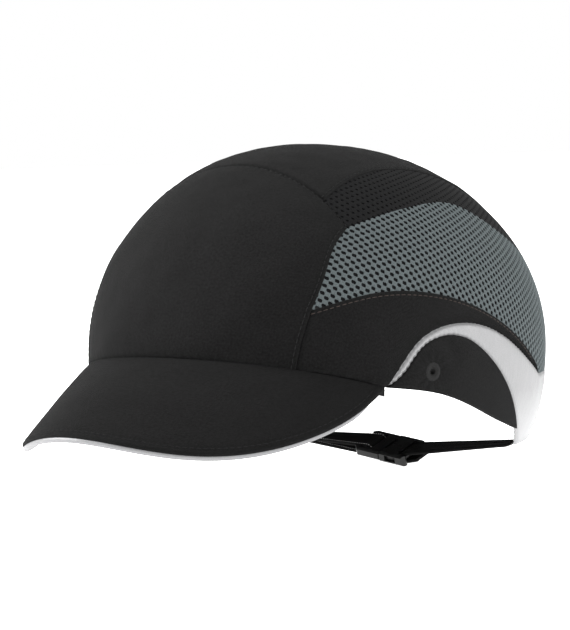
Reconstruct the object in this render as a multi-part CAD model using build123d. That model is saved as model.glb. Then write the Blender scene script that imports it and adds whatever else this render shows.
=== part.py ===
"""Lightweight bump cap: a fabric baseball-style cover over a vented safety shell, with a
short peak, mesh sides, a reflective band over each ear and a buckled strap at the nape.

Millimetres. +Z is up, the peak points along -Y and the wearer's left is +X. The origin is
the centre of the head opening, level with the widest part of the crown.
"""

from build123d import *
import os
from math import cos, pi, radians, sin

os.makedirs("parts", exist_ok=True)

# Crown: four part-ellipsoids that share their edges, about an apex ahead of the middle.
HALF_WIDTH = 86.0
APEX_Y = -14.0
FRONT_REACH = 93.0
REAR_REACH = 121.0
CROWN_HEIGHT = 85.5
LOWER_DEPTH = 100.0

# Layers, counted inwards from the outer surface.
FABRIC = 0.9
SHELL_OUT, SHELL_IN = 1.3, 3.3
PAD_OUT, PAD_IN = 3.7, 8.5
BAND_IN = 6.7
FLAP_IN = 2.6
LINING_OUT, LINING_IN = 1.2, 2.2
TAPE_OUT, TAPE_IN = 2.4, 3.4

# Seams in the side view, as (y, z).
SEAM_TOP = (-53, 52.2)
SEAM_LOW = (-78, 21)
BROW_MID, BROW_SEAM, CORNER = (-125, 8), (-85, -2.2), (-55, -10.6)
TAIL_FRONT, TAIL_REAR = (38, -42), (80, -42)
FLAP_END = (32, -34.5)
BAND_REAR = (80, -13)
MESH_REAR = (52, -13)
FRONT_SEAM = [SEAM_TOP, (-61.5, 45.5), (-70, 34), SEAM_LOW]
FRONT_SEAM_LOW = [SEAM_LOW, (-83, 8), BROW_SEAM]
BROW_FRONT = [BROW_SEAM, (-96, 0.5), (-107, 3.5), BROW_MID]
BROW_SIDE = [BROW_SEAM, (-70, -6), CORNER]
MESH_TOP = [SEAM_TOP, (-38, 56), (-12, 59.5), (12, 59), (40, 47), (70, 29), (78, 8), BAND_REAR]
MESH_LOW = [SEAM_LOW, (-55, 26.5), (-30, 25), (17, 8), MESH_REAR]
BAND_TOP = [CORNER, (-48.5, -1.5), (-41, 6.5), (-20, 12.5), (6, 8), (34, -5), MESH_REAR]
BAND_LOW = [CORNER, (-48.5, -5.8), (-40, 3.6), (-22, 8), (-3, 0), (19, -19), FLAP_END]
FLAP_LOW = [CORNER, (-34, -14), (-9, -21.5), (9, -28), FLAP_END]
SHELL_RIM = [(-125, 8), (-107, 4.5), (-84, 2), (-52, 9), (-24, 16), (17, 5), (60, -6), (125, 4)]

# Crown strip, half-widths at the front seam and at the back.
STRIP_FRONT, STRIP_BACK = 46.0, 34.0
# Arch over the nape, between the two tails of the band.
ARCH_BASE = -42.0
ARCH_HALF, ARCH_RISE = 56.0, 27.0
RING_HALF, RING_RISE = 78.0, 42.0
BACK_SEAM_X = 50.0

# Sewn eyelet in each flap: place in the side view, and radii.
EYELET_Y, EYELET_Z = -35.0, -5.5
EYELET_BORE, EYELET_RIM = 1.6, 4.0

# Peak: inner edge on the brow, outer edge a drawn-out half ellipse.
BROW_ANGLE = 61.0
BROW_CENTRE_Z, BROW_DROP = 3.5, 13.0
PEAK_HALF, PEAK_BACK_Y, PEAK_REACH, PEAK_POINT = 78.0, -58.0, 99.0, 1.2
PEAK_TIP_Z, PEAK_SIDE_DIP, PEAK_CORNER_RISE = -22.2, 8.6, 14.6
PEAK_SHARE = 0.98
PEAK_CROWNING = 3.0
PEAK_EDGE = 0.975
PEAK_FABRIC = 0.8
BOARD_DEPTH, BOARD_THICK = 1.0, 1.3
UNDER_DEPTH = 2.6
PIPING_DEPTH, PIPING_THICK = -0.1, 3.5
BROW_CLEAR = 0.6

# Strap: it swings about the level line through both anchors, and is tilted at them.
STRAP_Y, STRAP_Z, STRAP_TILT = 48.0, -42.5, 6.0
WEB_WIDTH, WEB_THICK = 12.0, 1.2
ANCHOR_X = 56.0

# Buckle, in its own frame: x across the head, y over the webbing's width, z off its face.
# It hangs twisted, its rear edge and its plug's end high.
BUCKLE_PLACE = (-7.0, 48.0, -46.6)
BUCKLE_TILT, BUCKLE_SLOPE = 20.0, 10.0
TAIL_CLOSING = 2.8
BUCKLE_WIDTH, BUCKLE_THICK = 18.0, 4.6
SOCKET_X0, SOCKET_X1 = 0.5, 13.5
PLUG_X0, PLUG_X1 = -13.5, 0.0
SOCKET_BAR_X, PLUG_BAR_X = SOCKET_X1 - 2.2, PLUG_X0 + 5.4
BAR = 2.0
WRAP_IN, WRAP_OUT = 1.3, 2.5
WRAP = (WRAP_IN + WRAP_OUT) / 2
LEFT_TAIL, RIGHT_TAIL = 7.0, 34.0
PRONG_WIDTH, PRONG_THICK, PRONG_TIP_X = 2.4, 1.8, 8.2
PRONG_ROOT_Y, PRONG_REACH_Y = 4.6, 7.6

FAR = 130.0
INNER_X = 20.0


def quarter_ellipsoid(half_x, reach_y, reach_z, turn):
    """A quarter of an ellipsoid: above or below the widest level, ahead or behind."""
    radius = 100.0
    disc = Circle(radius) & Pos(radius / 2, radius / 2) * Rectangle(radius, radius)
    profile = Plane.XZ * disc
    quarter = Rotation(0, 0, turn) * revolve(profile, Axis.Z, 180)
    return scale(quarter, by=(half_x / radius, reach_y / radius, reach_z / radius))


def dome(inset):
    """The crown's outer form, shrunk by inset, as one solid."""
    half = HALF_WIDTH - inset
    solid = None
    for reach, turn in ((FRONT_REACH, 180), (REAR_REACH, 0)):
        upper = quarter_ellipsoid(half, reach - inset, CROWN_HEIGHT - inset, turn)
        lower = quarter_ellipsoid(half, reach - inset, LOWER_DEPTH - inset, turn)
        lower = mirror(lower, about=Plane.XY)
        for piece in (upper, lower):
            solid = piece if solid is None else solid + piece
    return Pos(0, APEX_Y, 0) * solid


def layer(outer, inner):
    """The skin between two insets of the crown."""
    return dome(outer) - dome(inner)


def outline_face(runs):
    """A face from runs of points: straight for two points, a smooth curve for more."""
    return make_face([Line(*run) if len(run) == 2 else Spline(*run) for run in runs])


def side_prism(*runs, both=False):
    """A prism through the left side, or both sides, from an outline seen from the side."""
    prism = extrude(Plane.YZ * outline_face(runs), amount=FAR, both=both)
    return prism if both else Pos(INNER_X, 0, 0) * prism


def reverse(run):
    return run[::-1]


def top_prism(*runs):
    """A vertical prism from an outline seen from above, as (x, y)."""
    return extrude(outline_face(runs), amount=FAR)


def back_ellipse(half, rise):
    """A prism through the back of the cap, the upper half of an ellipse on the arch's base."""
    plane = Plane(origin=(0, 0, ARCH_BASE), x_dir=(1, 0, 0), z_dir=(0, 1, 0))
    return extrude(plane * Ellipse(half, rise), amount=FAR)


def strip_prism():
    """The crown strip's outline from above, narrowing to the back."""
    front = [(STRIP_FRONT, SEAM_TOP[0]), (-STRIP_FRONT, SEAM_TOP[0])]
    back = [(-STRIP_BACK, FAR), (STRIP_BACK, FAR)]
    return Pos(0, 0, -30) * top_prism(front, [front[1], back[0]], back, [back[1], front[0]])


def back_ring():
    """The band's ring around the nape arch."""
    return back_ellipse(RING_HALF, RING_RISE) - back_ellipse(ARCH_HALF, ARCH_RISE)


def back_slab():
    return Pos(0, FAR / 2 + 60, 0) * Box(2 * BACK_SEAM_X, FAR, 2 * FAR)


def build_front_panel(skin):
    top = (SEAM_TOP[0], FAR)
    ahead = [(-FAR, BROW_MID[1]), (-FAR, FAR)]
    outline = [
        [top, SEAM_TOP],
        FRONT_SEAM,
        FRONT_SEAM_LOW,
        BROW_FRONT,
        [BROW_MID, ahead[0]],
        ahead,
        [ahead[1], top],
    ]
    return skin & side_prism(*outline, both=True)


def above_mesh_top():
    """Everything behind the front seam and above the grey mesh's upper seam."""
    corners = [(FAR, BAND_REAR[1]), (FAR, FAR), (SEAM_TOP[0], FAR)]
    return side_prism(
        MESH_TOP,
        [BAND_REAR, corners[0]],
        [corners[0], corners[1]],
        [corners[1], corners[2]],
        [corners[2], SEAM_TOP],
        both=True,
    )


def build_crown(skin):
    """The crown strip and the left black mesh beside it."""
    region = (skin & above_mesh_top()) - back_ellipse(RING_HALF, RING_RISE)
    strip = region & strip_prism()
    mesh = (region - strip_prism()) & Pos(FAR, 0, 0) * Box(2 * FAR, 4 * FAR, 4 * FAR)
    return strip, mesh


def build_side(skin):
    """The left grey mesh and the left black side panel."""
    mesh_runs = [MESH_TOP, [BAND_REAR, MESH_REAR], reverse(MESH_LOW), reverse(FRONT_SEAM)]
    mesh = (skin & side_prism(*mesh_runs)) - back_ellipse(RING_HALF, RING_RISE)
    panel_runs = [MESH_LOW, reverse(BAND_TOP), reverse(BROW_SIDE), reverse(FRONT_SEAM_LOW)]
    return mesh, skin & side_prism(*panel_runs)


def tail_outline():
    return side_prism(
        BAND_TOP,
        [MESH_REAR, BAND_REAR],
        [BAND_REAR, TAIL_REAR],
        [TAIL_REAR, TAIL_FRONT],
        [TAIL_FRONT, FLAP_END],
        reverse(BAND_LOW),
    )


def build_band(skin):
    """The left reflective band with its tail, and the band over the nape arch."""
    behind = back_slab()
    arch = back_ellipse(ARCH_HALF, ARCH_RISE)
    side = (skin & tail_outline()) - arch - behind
    ring = (skin & back_ring()) - behind
    ring &= Pos(FAR, FAR + MESH_REAR[0], 0) * Box(2 * FAR, 2 * FAR, 2 * FAR)
    below = Pos(0, 0, ARCH_BASE - FAR) * Box(4 * FAR, 4 * FAR, 2 * FAR)
    left = (side + ring) - below
    rear = (skin & back_ring() & behind) - below
    return left, rear


def build_tail_lining():
    """The black facing sewn inside the left tail."""
    skin = layer(LINING_OUT, LINING_IN)
    inside = [(38, -41), (44, -18), (70, -18), (76, -41)]
    runs = [[inside[k], inside[(k + 1) % 4]] for k in range(4)]
    return (skin & side_prism(*runs)) - back_ellipse(ARCH_HALF + 1, ARCH_RISE + 1)


def build_flap():
    """The padded flap below the left band."""
    skin = layer(0, FLAP_IN)
    return skin & side_prism(BAND_LOW, reverse(FLAP_LOW))


def flap_point(y, z):
    """The outer surface of the left flap at a place in the side view."""
    height = CROWN_HEIGHT if z > 0 else LOWER_DEPTH
    reach = FRONT_REACH if y < APEX_Y else REAR_REACH
    left = 1 - ((y - APEX_Y) / reach) ** 2 - (z / height) ** 2
    return HALF_WIDTH * left**0.5


def eyelet_plane():
    """The plane of the left eyelet, facing out of the flap."""
    x = flap_point(EYELET_Y, EYELET_Z)
    normal = (x / HALF_WIDTH**2, (EYELET_Y - APEX_Y) / FRONT_REACH**2, EYELET_Z / LOWER_DEPTH**2)
    return Plane(origin=(x, EYELET_Y, EYELET_Z), z_dir=normal)


def build_eyelet():
    """A sewn eyelet: a flat ring of thread each side of the flap, joined by its barrel."""
    profile = [
        (EYELET_BORE, -3.3),
        (EYELET_RIM - 0.6, -3.3),
        (EYELET_RIM - 0.6, -2.7),
        (EYELET_BORE + 0.6, -2.7),
        (EYELET_BORE + 0.6, 0.25),
        (EYELET_RIM, 0.25),
        (EYELET_RIM, 0.6),
        (EYELET_RIM - 1, 0.9),
        (EYELET_BORE, 0.9),
    ]
    face = Plane.XZ * make_face(Polyline(*profile, close=True))
    return eyelet_plane() * revolve(face, Axis.Z)


def eyelet_hole():
    return eyelet_plane() * Cylinder(EYELET_BORE + 0.65, 20)


def brow_z(turn):
    """Height of the brow seam at a turn from the front, in degrees."""
    return BROW_CENTRE_Z - BROW_DROP * (turn / BROW_ANGLE) ** 2


def peak_point(u, v):
    """A point of the peak's top: u from corner to corner, v from the brow to the outer edge."""
    turn = radians(BROW_ANGLE * u)
    inner = Vector(
        (HALF_WIDTH + BROW_CLEAR) * sin(turn),
        APEX_Y - (FRONT_REACH + BROW_CLEAR) * cos(turn),
        brow_z(BROW_ANGLE * u),
    )
    share = PEAK_SHARE * abs(u)
    sweep = radians(90 * share)
    side = 1 if u > 0 else -1
    outer = Vector(
        side * PEAK_HALF * sin(sweep),
        PEAK_BACK_Y - PEAK_REACH * cos(sweep) ** PEAK_POINT,
        PEAK_TIP_Z - PEAK_SIDE_DIP * sin(pi * share) ** 2 + PEAK_CORNER_RISE * share**8,
    )
    crown = PEAK_CROWNING * 4 * v * (1 - v) * (1 - u * u)
    return inner * (1 - v) + outer * v + Vector(0, 0, crown)


def below_peak(u, v, depth):
    """The point at a depth under the peak's top, square to its surface."""
    step = 0.01
    across = peak_point(u + step, v) - peak_point(u - step, v)
    outward = peak_point(u, v + step) - peak_point(u, v - step)
    down = across.cross(outward).normalized()
    down = down if down.Z < 0 else down * -1
    return peak_point(u, v) + down * depth


def peak_layer(depth, thick, v0, v1, reach=1.0):
    """One layer of the peak, its top at depth, from v0 to v1 between brow and edge."""
    columns, rows = 33, 7
    grid = [
        [
            below_peak(
                reach * (2 * i / (columns - 1) - 1),
                v0 + (v1 - v0) * j / (rows - 1),
                depth + thick,
            )
            for j in range(rows)
        ]
        for i in range(columns)
    ]
    face = Face.make_surface_from_array_of_points(grid, tol=0.01, min_deg=3, max_deg=6)
    return Solid.thicken(face, thick, normal_override=(0, 0, 1))


def build_brow_tape():
    """The tape that joins the crown, the sweatband and the peak along the brow."""
    lowered = [[(y, z - 4) for y, z in run] for run in (BROW_FRONT, BROW_SIDE)]
    ends = [BROW_MID, (BROW_MID[0], BROW_MID[1] - 4), CORNER, (CORNER[0], CORNER[1] - 4)]
    runs = [
        reverse(BROW_FRONT),
        BROW_SIDE,
        [ends[2], ends[3]],
        reverse(lowered[1]),
        lowered[0],
        [ends[1], ends[0]],
    ]
    return layer(TAPE_OUT, TAPE_IN) & side_prism(*runs, both=True)


def side_vents():
    """Slots through the left side of the shell, ahead of and behind the side pad."""
    cutters = None
    for y, z, length in ((-44, 38, 22), (-32, 44, 26), (26, 38, 26), (38, 32, 26), (50, 26, 22)):
        plane = Plane(origin=(30, y, z), x_dir=(0, -0.35, 1), z_dir=(1, 0, 0))
        slot = extrude(plane * SlotOverall(length, 7), amount=80)
        cutters = slot if cutters is None else cutters + slot
    return cutters


def top_vents():
    """Two rows of slots along the top of the shell."""
    cutters = None
    for x in (-16, 16):
        for y in (-62, -48, 42, 56):
            slot = Pos(x, y, 30) * extrude(SlotOverall(20, 7), amount=80)
            cutters = slot if cutters is None else cutters + slot
    return cutters


def build_shell():
    """The vented safety shell inside the fabric."""
    rim = SHELL_RIM
    top = [(FAR, FAR), (-FAR, FAR)]
    runs = [
        rim,
        [rim[-1], (FAR, rim[-1][1])],
        [(FAR, rim[-1][1]), top[0]],
        top,
        [top[1], (-FAR, rim[0][1])],
        [(-FAR, rim[0][1]), rim[0]],
    ]
    shell = layer(SHELL_OUT, SHELL_IN) & side_prism(*runs, both=True)
    vents = side_vents()
    return shell - vents - mirror(vents, about=Plane.YZ) - top_vents()


def build_pads():
    """The foam pads inside the shell, by name."""
    skin = layer(PAD_OUT, PAD_IN)
    crown_ring = Pos(0, -8, 0) * (Cylinder(34, 2 * FAR) - Cylinder(12, 2 * FAR))
    crown_pad = skin & crown_ring & Pos(0, 0, FAR) * Box(2 * FAR, 2 * FAR, 2 * FAR)
    front = Plane(origin=(0, -FAR, 45), x_dir=(1, 0, 0), z_dir=(0, 1, 0))
    front_pad = skin & extrude(front * RectangleRounded(64, 20, 6), amount=FAR - 20)
    rear = Plane(origin=(0, FAR, 24), x_dir=(1, 0, 0), z_dir=(0, -1, 0))
    rear_pad = skin & extrude(rear * RectangleRounded(60, 26, 6), amount=FAR - 20)
    side = Plane(origin=(0, -4, 42), x_dir=(0, 1, 0), z_dir=(1, 0, 0))
    side_pad = skin & extrude(side * RectangleRounded(36, 26, 6), amount=FAR)
    return {
        "crown_pad": crown_pad,
        "front_pad": front_pad,
        "rear_pad": rear_pad,
        "side_pad_left": side_pad,
        "side_pad_right": mirror(side_pad, about=Plane.YZ),
    }


def build_sweatband():
    """The sweatband round the brow, ending above each ear."""
    low = [(-125, 1), (-85, -5), (-58, -9), (-48, -6)]
    high = [(-24, 20), (-60, 27), (-125, 32)]
    runs = [low, [low[-1], high[0]], high, [high[-1], low[0]]]
    return layer(PAD_OUT, BAND_IN) & side_prism(*runs, both=True)


def strap_frame():
    return Pos(0, STRAP_Y, STRAP_Z) * Rotation(STRAP_TILT, 0, 0)


def buckle_frame():
    return Pos(*BUCKLE_PLACE) * Rotation(BUCKLE_TILT, 0, 0) * Rotation(0, BUCKLE_SLOPE, 0)


def web_section(x, z, thick=WEB_THICK):
    """The webbing's cross-section in the plane across its run."""
    plane = Plane(origin=(x, 0, z), x_dir=(0, 1, 0), z_dir=(-1, 0, 0))
    return plane * Rectangle(WEB_WIDTH, thick)


def webbing(bar_x, side, tail):
    """Webbing from an anchor to a bar at bar_x, round it and back below for tail."""
    buckle = buckle_frame()
    top = buckle * web_section(bar_x, WRAP)
    bottom = buckle * web_section(bar_x, -WRAP)
    anchored = strap_frame() * web_section(side * ANCHOR_X, 0)
    share = tail / abs(anchored.center().X - top.center().X)
    drop = (anchored.center() - top.center()) * share + bottom.center()
    drop += Vector(0, 0, TAIL_CLOSING * share)
    end = Pos(*drop) * Rotation(STRAP_TILT, 0, 0) * web_section(0, 0)
    ring = Pos(bar_x, 0, 0) * Rotation(90, 0, 0) * (
        Cylinder(WRAP_OUT, WEB_WIDTH) - Cylinder(WRAP_IN, WEB_WIDTH)
    )
    wrap = ring & Pos(bar_x - side * FAR / 2, 0, 0) * Box(FAR, FAR, FAR)
    return loft([anchored, top]) + buckle * wrap + loft([bottom, end])


def build_socket():
    """The buckle's female half: a flat sleeve with a window each side and a bar."""
    length = SOCKET_X1 - SOCKET_X0
    mid = (SOCKET_X0 + SOCKET_X1) / 2
    body = Box(length, BUCKLE_WIDTH, BUCKLE_THICK)
    body = chamfer(body.edges().filter_by(Axis.X), 0.8)
    body = chamfer(body.edges().filter_by(Axis.Z).group_by(Axis.X)[-1], 1.6)
    body = Pos(mid, 0, 0) * body
    sleeve = Pos(SOCKET_X0 + 4.5, 0, 0) * Box(9.2, 2 * PRONG_REACH_Y + 0.6, 2.6)
    window = Pos(SOCKET_X0 + 5.6, 0, 0) * Box(5.6, 2 * BUCKLE_WIDTH, 2.6)
    notch = Pos(SOCKET_X0, 0, BUCKLE_THICK / 2) * Box(2.4, 9, 2)
    slot = Pos(SOCKET_X1 - 2.4, 0, 0) * Box(8.4, WEB_WIDTH + 0.8, 2 * BUCKLE_THICK)
    slot &= Pos(SOCKET_X1 - 2.6, 0, 0) * Box(3.6, FAR, FAR)
    mouth = Pos(SOCKET_X1 - 0.6, 0, 0) * Box(3.0, WEB_WIDTH + 0.8, 2 * BUCKLE_THICK)
    bar = Pos(SOCKET_BAR_X, 0, 0) * Rotation(90, 0, 0) * Cylinder(BAR / 2, BUCKLE_WIDTH - 2)
    return body - sleeve - window - notch - slot - mouth + bar


def build_plug():
    """The buckle's male half: a frame with two web slots, a bar and a middle guide."""
    length = PLUG_X1 - PLUG_X0
    mid = (PLUG_X0 + PLUG_X1) / 2
    body = Box(length, BUCKLE_WIDTH, BUCKLE_THICK - 0.6)
    body = chamfer(body.edges().filter_by(Axis.X), 0.8)
    body = chamfer(body.edges().filter_by(Axis.Z).group_by(Axis.X)[0], 2.4)
    body = Pos(mid, 0, 0) * body
    slot = Pos(PLUG_BAR_X, 0, 0) * Box(6.4, WEB_WIDTH + 0.8, 2 * BUCKLE_THICK)
    mouth = Pos(PLUG_X0, 0, 0) * Box(5.0, WEB_WIDTH + 0.8, 2 * BUCKLE_THICK)
    relief = Pos(PLUG_X1, 0, 0) * Box(2.4, 2 * PRONG_REACH_Y + 0.8, 2.4)
    bar = Pos(PLUG_BAR_X, 0, 0) * Rotation(90, 0, 0) * Cylinder(BAR / 2, BUCKLE_WIDTH - 2)
    guide = Pos(PLUG_X1 + 3.2, 0, 0) * Box(9.0, 2.6, PRONG_THICK)
    return body - slot - mouth - relief + bar + guide


def build_prong():
    """The springy prong on the buckle's rear side, with its barb in the socket's window."""
    root, reach = PRONG_ROOT_Y, PRONG_REACH_Y
    x0, x1 = PLUG_X1 - 0.9, PRONG_TIP_X
    outline = [
        (x0, root - PRONG_WIDTH / 2),
        (x1 - 2, reach - PRONG_WIDTH - 0.6),
        (x1, reach - PRONG_WIDTH),
        (x1, reach - 1.2),
        (x1 - 1.4, reach),
        (x1 - 4.6, reach),
        (x0, root + PRONG_WIDTH / 2),
    ]
    face = make_face(Polyline(*outline, close=True))
    return Pos(0, 0, -PRONG_THICK / 2) * extrude(face, amount=PRONG_THICK)


def build_anchor():
    """The folded webbing tab sewn inside the left tail, level with its lower edge."""
    outer, inner = LINING_IN + 0.3, LINING_IN + 1.5
    skin = layer(outer, inner)
    half = WEB_WIDTH / 2
    corners = [(STRAP_Y - half, -41), (STRAP_Y + half, -41)]
    corners += [(STRAP_Y + half, -24), (STRAP_Y - half, -24)]
    runs = [[corners[k], corners[(k + 1) % 4]] for k in range(4)]
    return skin & side_prism(*runs)


def both_sides(name, left):
    """A left piece and its mirror image."""
    return {f"{name}_left": left, f"{name}_right": mirror(left, about=Plane.YZ)}


def build_all():
    skin = layer(0, FABRIC)
    parts = {"front_panel": build_front_panel(skin)}
    parts["crown_strip"], black_mesh = build_crown(skin)
    parts |= both_sides("upper_mesh", black_mesh)
    grey_mesh, side_panel = build_side(skin)
    parts |= both_sides("side_mesh", grey_mesh)
    parts |= both_sides("side_panel", side_panel)
    band, parts["rear_band"] = build_band(skin)
    parts |= both_sides("reflective_band", band)
    parts |= both_sides("tail_lining", build_tail_lining())
    parts |= both_sides("ear_flap", build_flap() - eyelet_hole())
    parts |= both_sides("eyelet", build_eyelet())
    parts["peak_cover_top"] = peak_layer(0, PEAK_FABRIC, 0.0, PEAK_EDGE)
    parts["peak_board"] = peak_layer(BOARD_DEPTH, BOARD_THICK, 0.02, 0.95, 0.96)
    parts["peak_cover_under"] = peak_layer(UNDER_DEPTH, PEAK_FABRIC, 0.0, PEAK_EDGE)
    parts["peak_piping"] = peak_layer(PIPING_DEPTH, PIPING_THICK, PEAK_EDGE + 0.008, 1.02)
    parts["brow_tape"] = build_brow_tape()
    parts["hard_shell"] = build_shell()
    parts |= build_pads()
    parts["sweatband"] = build_sweatband()
    parts |= both_sides("strap_anchor", build_anchor())
    parts["strap_left"] = webbing(SOCKET_BAR_X, 1, LEFT_TAIL)
    parts["strap_right"] = webbing(PLUG_BAR_X, -1, RIGHT_TAIL)
    frame = buckle_frame()
    parts["buckle_socket"] = frame * build_socket()
    parts["buckle_plug"] = frame * build_plug()
    prong = build_prong()
    parts["prong_rear"] = frame * prong
    parts["prong_front"] = frame * mirror(prong, about=Plane.XZ)
    return parts


for name, shape in build_all().items():
    export_step(shape, f"parts/{name}.step")
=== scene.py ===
"""Looks of the bump cap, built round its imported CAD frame.

Shapes are worked out in millimetres and turned into metres as each mesh is made. The crown's
panels are grids laid on the same four part-ellipsoids as the CAD crown, cut along its seams.
"""

from math import acos, cos, pi, radians, sin, sqrt

import bmesh
import bpy
import numpy as np
from mathutils import Matrix, Vector, noise


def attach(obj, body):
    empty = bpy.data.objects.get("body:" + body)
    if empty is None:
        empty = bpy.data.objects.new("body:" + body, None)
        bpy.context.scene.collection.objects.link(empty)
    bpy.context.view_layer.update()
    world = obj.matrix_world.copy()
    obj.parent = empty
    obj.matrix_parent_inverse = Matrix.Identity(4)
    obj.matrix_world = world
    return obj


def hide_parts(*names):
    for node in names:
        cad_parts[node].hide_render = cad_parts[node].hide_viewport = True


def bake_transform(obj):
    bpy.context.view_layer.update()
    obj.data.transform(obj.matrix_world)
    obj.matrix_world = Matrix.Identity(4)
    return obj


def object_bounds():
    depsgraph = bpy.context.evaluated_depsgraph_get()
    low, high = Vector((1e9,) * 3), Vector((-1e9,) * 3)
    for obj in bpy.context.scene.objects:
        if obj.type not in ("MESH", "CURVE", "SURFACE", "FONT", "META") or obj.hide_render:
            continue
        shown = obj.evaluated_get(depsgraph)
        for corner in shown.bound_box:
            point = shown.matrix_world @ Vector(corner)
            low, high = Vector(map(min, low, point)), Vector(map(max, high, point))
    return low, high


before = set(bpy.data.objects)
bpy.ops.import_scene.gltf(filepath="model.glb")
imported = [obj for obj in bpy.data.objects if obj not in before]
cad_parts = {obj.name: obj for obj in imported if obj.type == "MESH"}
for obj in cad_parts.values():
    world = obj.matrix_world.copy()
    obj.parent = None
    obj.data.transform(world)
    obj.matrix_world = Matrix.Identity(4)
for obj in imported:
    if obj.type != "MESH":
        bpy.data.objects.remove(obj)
CAD_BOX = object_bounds()

MM = 0.001

# Crown: half width, apex, reach ahead and behind, height above and depth below.
HALF_WIDTH, APEX_Y = 86.0, -14.0
FRONT_REACH, REAR_REACH = 93.0, 121.0
CROWN_HEIGHT, LOWER_DEPTH = 85.5, 100.0
APEX = np.array([0, APEX_Y, 0])

# Seams in the side view, as (y, z).
SEAM_TOP, SEAM_LOW = (-53, 52.2), (-78, 21)
BROW_MID, BROW_SEAM, CORNER = (-125, 8), (-85, -2.2), (-55, -10.6)
TAIL_FRONT, TAIL_BASE = (38, -42), -42.0
FLAP_END, MESH_REAR, BAND_REAR = (32, -34.5), (52, -13), (80, -13)
FRONT_SEAM = [SEAM_TOP, (-61.5, 45.5), (-70, 34), SEAM_LOW]
FRONT_SEAM_LOW = [SEAM_LOW, (-83, 8), BROW_SEAM]
BROW_FRONT = [BROW_SEAM, (-96, 0.5), (-107, 3.5), BROW_MID]
BROW_SIDE = [BROW_SEAM, (-70, -6), CORNER]
MESH_TOP = [SEAM_TOP, (-38, 56), (-12, 59.5), (12, 59), (40, 47), (70, 29), (78, 8), BAND_REAR]
MESH_LOW = [SEAM_LOW, (-55, 26.5), (-30, 25), (17, 8), MESH_REAR]
BAND_TOP = [CORNER, (-48.5, -1.5), (-41, 6.5), (-20, 12.5), (6, 8), (34, -5), MESH_REAR]
BAND_LOW = [CORNER, (-48.5, -5.8), (-40, 3.6), (-22, 8), (-3, 0), (19, -19), FLAP_END]
FLAP_LOW = [CORNER, (-34, -14), (-9, -21.5), (9, -28), FLAP_END]
SWEATBAND_LOW = [(-48, -6), (-58, -9), (-85, -5), (-125, 1)]
SWEATBAND_HIGH = [(-24, 20), (-60, 27), (-125, 32)]

# Crown strip's half widths at the front seam and behind, and the arches over the nape.
STRIP_FRONT, STRIP_BACK, STRIP_BACK_Y = 46.0, 34.0, 130.0
ARCH_HALF, ARCH_RISE = 56.0, 27.0
RING_HALF, RING_RISE = 78.0, 42.0
BACK_SEAM_X = 50.0

# Thicknesses.
FABRIC, FLAP, SWEATBAND = 0.9, 2.6, 3.0
MESH_THICK = 0.6

# How deep the knitted mesh and the lining behind it lie under the crown's surface.
MESH_DEPTH, BACKING_DEPTH = 0.2, 0.95

# Knitted mesh: the lattice of its holes in the flattened cloth, and a hole's half size.
LATTICE_A, LATTICE_B = np.array([2.73, 0.75]), np.array([-0.78, 2.34])
GREY_HOLE, BLACK_HOLE = 0.90, 0.52

# Eyelet in each flap.
EYELET_Y, EYELET_Z = -35.0, -5.5
EYELET_BORE, EYELET_RIM = 1.6, 4.0

# Peak.
BROW_ANGLE, BROW_CENTRE_Z, BROW_DROP, BROW_CLEAR = 61.0, 3.5, 13.0, 0.6
PEAK_HALF, PEAK_BACK_Y, PEAK_REACH, PEAK_POINT = 78.0, -58.0, 99.0, 1.2
PEAK_TIP_Z, PEAK_SIDE_DIP, PEAK_CORNER_RISE = -22.2, 8.6, 14.6
PEAK_SHARE, PEAK_CROWNING = 0.98, 3.0
PEAK_UNDER, PEAK_FABRIC = 3.4, 0.8
# How far the covers run in under the brow, as a share of the peak, and their stitches' inset.
PEAK_TUCK, PEAK_SEAM = -0.03, 3.0

# Strap and buckle, each in its own frame: x across the head, y over the width, z off the face.
STRAP_Y, STRAP_Z, STRAP_TILT = 48.0, -42.5, 6.0
BUCKLE_PLACE = np.array([-7.0, 48.0, -46.6])
BUCKLE_TILT, BUCKLE_SLOPE, TAIL_CLOSING = 20.0, 10.0, 2.8
WEB_WIDTH, WEB_THICK = 12.0, 1.2
ANCHOR_X = 56.0
SOCKET_BAR_X, PLUG_BAR_X = 11.3, -8.1
WRAP = 1.9
LEFT_TAIL, RIGHT_TAIL = 7.0, 34.0

STITCH_PITCH, STITCH_LENGTH, STITCH_RADIUS = 2.6, 2.0, 0.17
FOLD_INSET = 1.8

# Pads: the size of their cloth's cells, and the most that a point of them may puff out.
PAD_VOXEL, PAD_PUFF = 2.5, 0.8

# The picture's view: degrees round and above the cap, and of camera roll.
VIEW_TURN, VIEW_RISE, VIEW_ROLL = 41.0, 3.0, 2.0
VIEW_DISTANCE, VIEW_LENS = 1.3, 179.4
VIEW_LEFT, VIEW_UP = 8.36, 14.66


# ---------------------------------------------------------------- camera, light and floor


def make_camera():
    turn, rise, roll = radians(VIEW_TURN), radians(VIEW_RISE), radians(VIEW_ROLL)
    level = Vector((cos(turn), sin(turn), 0))
    upright = Vector((-sin(turn) * sin(rise), cos(turn) * sin(rise), cos(rise)))
    back = level.cross(upright)
    right = level * cos(roll) - upright * sin(roll)
    up = upright * cos(roll) + level * sin(roll)
    target = Vector(APEX * MM) - right * VIEW_LEFT * MM + up * VIEW_UP * MM
    camera = bpy.data.objects.new("camera", bpy.data.cameras.new("camera"))
    bpy.context.scene.collection.objects.link(camera)
    camera.matrix_world = Matrix.Translation(target + back * VIEW_DISTANCE) @ Matrix(
        (right, up, back)
    ).transposed().to_4x4()
    camera.data.lens = VIEW_LENS
    camera.data.clip_end = 50
    bpy.context.scene.camera = camera


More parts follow.
